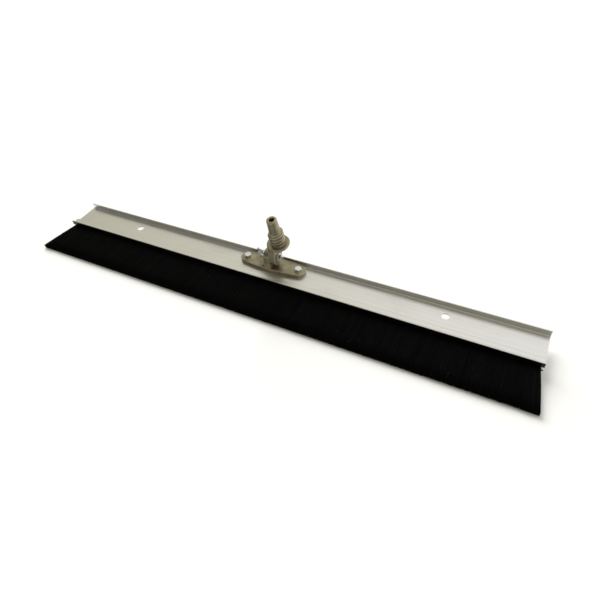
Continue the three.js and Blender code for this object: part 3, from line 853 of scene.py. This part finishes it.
def ear_root():
    """The casting swells into the base: a long sweep on the nut's side, a short one under the tang."""
    low = BASE_TOP - 2
    outline = Outline(EAR_LEFT - 14, low).line(EAR_LEFT - 14, BASE_TOP - RECESS_DEPTH)
    outline.bend(EAR_LEFT - 2, BASE_TOP, EAR_LEFT, BASE_TOP + 5, 12)
    outline.line(EAR_RIGHT, BASE_TOP + 5).line(EAR_RIGHT, BASE_TOP + 2.2)
    outline.bend(EAR_RIGHT + 0.6, BASE_TOP - 0.2, EAR_RIGHT + 5, BASE_TOP - RECESS_DEPTH, 8)
    outline.line(EAR_RIGHT + 5, low)
    return extruded(outline, 1 - EAR_RADIUS, EAR_RADIUS - 1, "Y")


def bracket_base():
    piece = make("bracket_casting", [extruded(base_outline(0), BASE_BOTTOM, BASE_TOP, "Z")], bracket_place)
    recess = extruded(base_outline(RIM_WIDTH), BASE_TOP - RECESS_DEPTH, BASE_TOP + 1, "Z")
    cut(piece, [recess], bracket_place)
    additions = [rod(BOSS_RADIUS, BASE_BOTTOM + 1, BASE_TOP, side * BOLT_X) for side in (-1, 1)]
    ear = make("ear", [extruded(ear_outline(), EAR_LEFT, EAR_RIGHT, "X"), ear_root()], bracket_place)
    join(piece, ear)
    join(piece, make("bosses", additions, bracket_place))
    cast_skin(piece, BASE_VOXEL, 5, 0)
    bore = rod_along_x(LARGE["hole"], EAR_LEFT - 2, EAR_RIGHT + 2, PIVOT_HEIGHT)
    holes = [rod(SMALL["hole"], BASE_BOTTOM - 1, BASE_TOP + 1, side * BOLT_X) for side in (-1, 1)]
    cut(piece, [bore, *holes], bracket_place)
    cast_skin(piece, BASE_VOXEL, 2, CAST_LUMPS)
    return settle(piece, "head", "cast_aluminium", CASTING, "bracket_base")


# ------------------------------------------------------------------------------------------------
# Handle adapter and pivot
# ------------------------------------------------------------------------------------------------


def thread_ridge():
    """The coarse pole thread, running out to nothing at both ends."""
    steps_per_turn = 72
    steps = round(THREAD_TURNS * steps_per_turn)
    section = ((-0.8, -1.9), (0.6, -1.2), (0.97, -0.9), (1, 0), (0.97, 0.9), (0.6, 1.2), (-0.8, 1.9))
    vertices = []
    for i in range(steps + 1):
        turn = i / steps_per_turn
        fade = min(1, 4 * turn, 4 * (THREAD_TURNS - turn))
        for share, offset in section:
            radius = THREAD_ROOT + share * (THREAD_CREST - THREAD_ROOT) * (fade if share > 0 else 1)
            angle = 2 * math.pi * turn
            height = THREAD_START + turn * THREAD_PITCH + offset
            vertices.append((radius * math.cos(angle), radius * math.sin(angle), height))
    count = len(section)
    faces = ring_faces(steps + 1, count)
    last = steps * count
    faces += [tuple(reversed(range(count))), tuple(range(last, last + count))]
    return vertices, faces


def stub():
    collar = Outline(13, COLLAR_BOTTOM - 2).bend(14, COLLAR_BOTTOM, COLLAR_RADIUS - 3, COLLAR_BOTTOM)
    collar.bend(COLLAR_RADIUS, COLLAR_BOTTOM + 0.4, COLLAR_RADIUS, COLLAR_TOP - 2)
    collar.bend(COLLAR_RADIUS, COLLAR_TOP - 0.4, COLLAR_RADIUS - 2, COLLAR_TOP)
    profile = [(0, 20), (8, 20), (10, 22)] + collar.points
    profile += [(THREAD_ROOT + 1.2, COLLAR_TOP), (THREAD_ROOT, COLLAR_TOP + 1)]
    profile += [(THREAD_ROOT, THREAD_TOP - 1), (STUB_BASE_RADIUS, THREAD_TOP + 0.4)]
    profile += [(STUB_TIP_RADIUS, STUB_TOP - 1.2), (STUB_TIP_RADIUS - 1, STUB_TOP)]
    profile += [(BORE_RADIUS + 0.5, STUB_TOP), (BORE_RADIUS, STUB_TOP - 0.6)]
    profile += [(BORE_RADIUS, BORE_BOTTOM), (0, BORE_BOTTOM - 2)]
    return profile


def tang_outline():
    neck_half = 11
    top = COLLAR_BOTTOM + 2
    radius = EAR_RADIUS
    outline = Outline(-radius, 0).arc(0, 0, radius, math.pi, 2 * math.pi, 48)
    outline.points.pop(0)
    steps = 16
    sides = (
        ((radius, 0), (radius, 10), (STUB_BEHIND + neck_half, 16), (STUB_BEHIND + neck_half, top)),
        ((STUB_BEHIND - neck_half, top), (STUB_BEHIND - neck_half, 18), (-radius, 12), (-radius, 0)),
    )
    for a, b, c, d in sides:
        for i in range(1, steps):
            t = i / steps
            weights = ((1 - t) ** 3, 3 * t * (1 - t) ** 2, 3 * t * t * (1 - t), t**3)
            outline.line(*(sum(w * p[n] for w, p in zip(weights, (a, b, c, d))) for n in (0, 1)))
        if d[1] == top:
            outline.line(*d).line(STUB_BEHIND - neck_half, top)
    return outline


def handle_adapter():
    standing = [shifted(shell, STUB_X, STUB_BEHIND) for shell in (turned(stub(), 128), thread_ridge())]
    tang = extruded(tang_outline(), TANG_LEFT, TANG_RIGHT, "X")
    piece = make("adapter_casting", [*standing, tang], adapter_place)
    cast_skin(piece, ADAPTER_VOXEL, 2, 0)
    cut(piece, [rod_along_x(LARGE["hole"], TANG_LEFT - 2, TANG_RIGHT + 2)], adapter_place)
    cast_skin(piece, ADAPTER_VOXEL, 1, CAST_LUMPS)
    return settle(piece, "adapter", "cast_aluminium", CASTING, "handle_adapter")


def wing_nut(place):
    """Two rounded wings on a conical hub."""
    bore, height = LARGE["hole"], LARGE["nut"]
    hub = [(bore, 0), (HUB_BASE_RADIUS - 0.2, 0), (HUB_BASE_RADIUS, 0.4), (HUB_BASE_RADIUS, 1.8)]
    hub += [(HUB_TOP_RADIUS, height), (bore, height)]
    shells = [turned(hub)]
    for side in (-1, 1):
        wing = Outline(side * 4.9, 1).line(side * 6.5, 1)
        wing.bend(side * 10.5, 2, side * WING_TIP, 9, 12)
        wing.bend(side * (WING_TIP + 0.2), 12.6, side * 9.6, 12.4, 10)
        wing.bend(side * 7.4, 12, side * 6.6, 9.6, 8)
        wing.line(side * 4.9, height - 0.5)
        shells.append(extruded(wing, -WING_THICKNESS / 2, WING_THICKNESS / 2, "Y"))
    piece = make("wing_nut_body", shells, place)
    cast_skin(piece, NUT_VOXEL, 5, NUT_LUMPS)
    return settle(piece, "clamp_nut", "zinc_plate", ZINC, "wing_nut")


def fasteners():
    for side, name in ((-1, "left"), (1, "right")):
        over = bracket_place @ Matrix.Translation((side * BOLT_X, 0, BASE_TOP + GAP))
        bolt(f"bracket_bolt_{name}", SMALL, over)
        level = -PLATE_THICKNESS - GAP
        flip = Matrix.Rotation(math.pi, 4, "X")
        under = []
        for step in range(3):
            height = level - step * (WASHER_THICKNESS + GAP)
            under.append(bracket_place @ Matrix.Translation((side * BOLT_X, 0, height)) @ flip)
        flat_washer(f"bracket_washer_{name}", SMALL, under[0])
        lock_washer(f"bracket_lock_washer_{name}", SMALL["hole"], SMALL_LOCK_OUTER, under[1])
        nut(f"bracket_nut_{name}", SMALL, under[2])


def pivot_hardware():
    step = WASHER_THICKNESS + GAP
    washer_at = TANG_RIGHT + GAP
    head_place = pivot_place @ Matrix.Translation((washer_at + step, 0, 0)) @ to_right
    bolt("pivot_bolt", LARGE, head_place)
    flat_washer("pivot_head_washer", LARGE, pivot_place @ Matrix.Translation((washer_at, 0, 0)) @ to_right)
    nut_side = EAR_LEFT - GAP
    flat_washer("pivot_nut_washer", LARGE, pivot_place @ Matrix.Translation((nut_side, 0, 0)) @ to_left)
    lock_at = pivot_place @ Matrix.Translation((nut_side - step, 0, 0)) @ to_left
    lock_washer("pivot_lock_washer", LARGE["hole"], LARGE_LOCK_OUTER, lock_at)
    nut_at = pivot_place @ Matrix.Translation((nut_side - 2 * step, 0, 0)) @ to_left
    wing_nut(nut_at @ Matrix.Rotation(WING_ANGLE, 4, "Z"))


def carried_over():
    """CAD nodes whose shape is already right get their finished material."""
    for name in ("brush_strip_channel", "strip_core_wire"):
        node = frame["nodes"][name]
        node.data.materials.clear()
        node.data.materials.append(STEEL)


# ------------------------------------------------------------------------------------------------
# Studio
# ------------------------------------------------------------------------------------------------

CAMERA_AT = Vector((377.7, -476.0, 573.1))
CAMERA_LOOKS_AT = Vector((83.3, -14.0, 0))
CAMERA_ROLL = math.radians(-3.3)
CAMERA_LENS = 28.74
FLOOR_HALF = 12  # metres


def camera():
    data = bpy.data.cameras.new("camera")
    data.sensor_width = 36
    data.lens = CAMERA_LENS
    data.clip_start = 0.01
    data.clip_end = 50
    place = plate_place @ CAMERA_AT
    looking = plate_place @ CAMERA_LOOKS_AT - place
    turn = looking.to_track_quat("-Z", "Y").to_matrix().to_4x4()
    viewer = bpy.data.objects.new("camera", data)
    viewer.matrix_world = Matrix.Translation(place) @ turn @ Matrix.Rotation(CAMERA_ROLL, 4, "Z")
    bpy.context.scene.collection.objects.link(viewer)
    bpy.context.scene.camera = viewer


def floor():
    corners = [(x * FLOOR_HALF, y * FLOOR_HALF, 0) for x, y in ((-1, -1), (1, -1), (1, 1), (-1, 1))]
    mesh = bpy.data.meshes.new("floor")
    mesh.from_pydata(corners, [], [(0, 1, 2, 3)])
    material = bpy.data.materials.new("floor")
    material.use_nodes = True
    surface = material.node_tree.nodes["Principled BSDF"]
    surface.inputs["Base Color"].default_value = (0.82, 0.82, 0.82, 1)
    surface.inputs["Roughness"].default_value = 1
    surface.inputs["Specular IOR Level"].default_value = 0
    mesh.materials.append(material)
    plane = bpy.data.objects.new("floor", mesh)
    bpy.context.scene.collection.objects.link(plane)


def sky():
    """A soft studio: bright overhead and to the right rear, dimmer and warmer to the left and front."""
    world = bpy.data.worlds.new("studio")
    world.use_nodes = True
    nodes, links = world.node_tree.nodes, world.node_tree.links
    direction = nodes.new("ShaderNodeTexCoord").outputs["Generated"]
    towards = nodes.new("ShaderNodeVectorMath")
    towards.operation = "DOT_PRODUCT"
    towards.inputs[1].default_value = (0.45, 0.62, 0.64)
    share = nodes.new("ShaderNodeMapRange")
    share.inputs["From Min"].default_value = -1
    ramp = nodes.new("ShaderNodeValToRGB")
    stops = (
        (0.3, (0.16, 0.16, 0.15)),
        (0.49, (0.22, 0.215, 0.19)),
        (0.56, (0.42, 0.4, 0.32)),
        (0.62, (0.62, 0.6, 0.49)),
        (0.82, (0.8, 0.79, 0.71)),
        (0.955, (1.0, 1.0, 1.0)),
    )
    elements = ramp.color_ramp.elements
    elements[0].position, elements[0].color = stops[0][0], (*stops[0][1], 1)
    elements[1].position, elements[1].color = stops[-1][0], (*stops[-1][1], 1)
    for position, colour in stops[1:-1]:
        elements.new(position).color = (*colour, 1)
    links.new(direction, towards.inputs[0])
    links.new(towards.outputs["Value"], share.inputs["Value"])
    links.new(share.outputs["Result"], ramp.inputs["Fac"])
    links.new(ramp.outputs["Color"], nodes["Background"].inputs["Color"])
    nodes["Background"].inputs["Strength"].default_value = 1.0
    bpy.context.scene.world = world


def sun():
    """The key: a broad soft source low at the left rear, which throws the shadow forward and right."""
    data = bpy.data.lights.new("key", "SUN")
    data.energy = 4.2
    data.angle = math.radians(50)
    key = bpy.data.objects.new("key", data)
    key.rotation_euler = Vector((0.62, -0.62, -0.48)).to_track_quat("-Z", "Y").to_euler()
    key.visible_glossy = False
    bpy.context.scene.collection.objects.link(key)


# ------------------------------------------------------------------------------------------------
# Build
# ------------------------------------------------------------------------------------------------

bpy.context.scene.view_settings.view_transform = "Standard"
camera()
floor()
sky()
sun()

backing_extrusion()
strand_rng = random.Random(7)
for section in range(BRISTLE_SECTIONS):
    bristle_section(section, strand_rng)
stop_screw("strip_stop_screw_left", -1)
stop_screw("strip_stop_screw_right", 1)
bracket_base()
handle_adapter()
fasteners()
pivot_hardware()
carried_over()
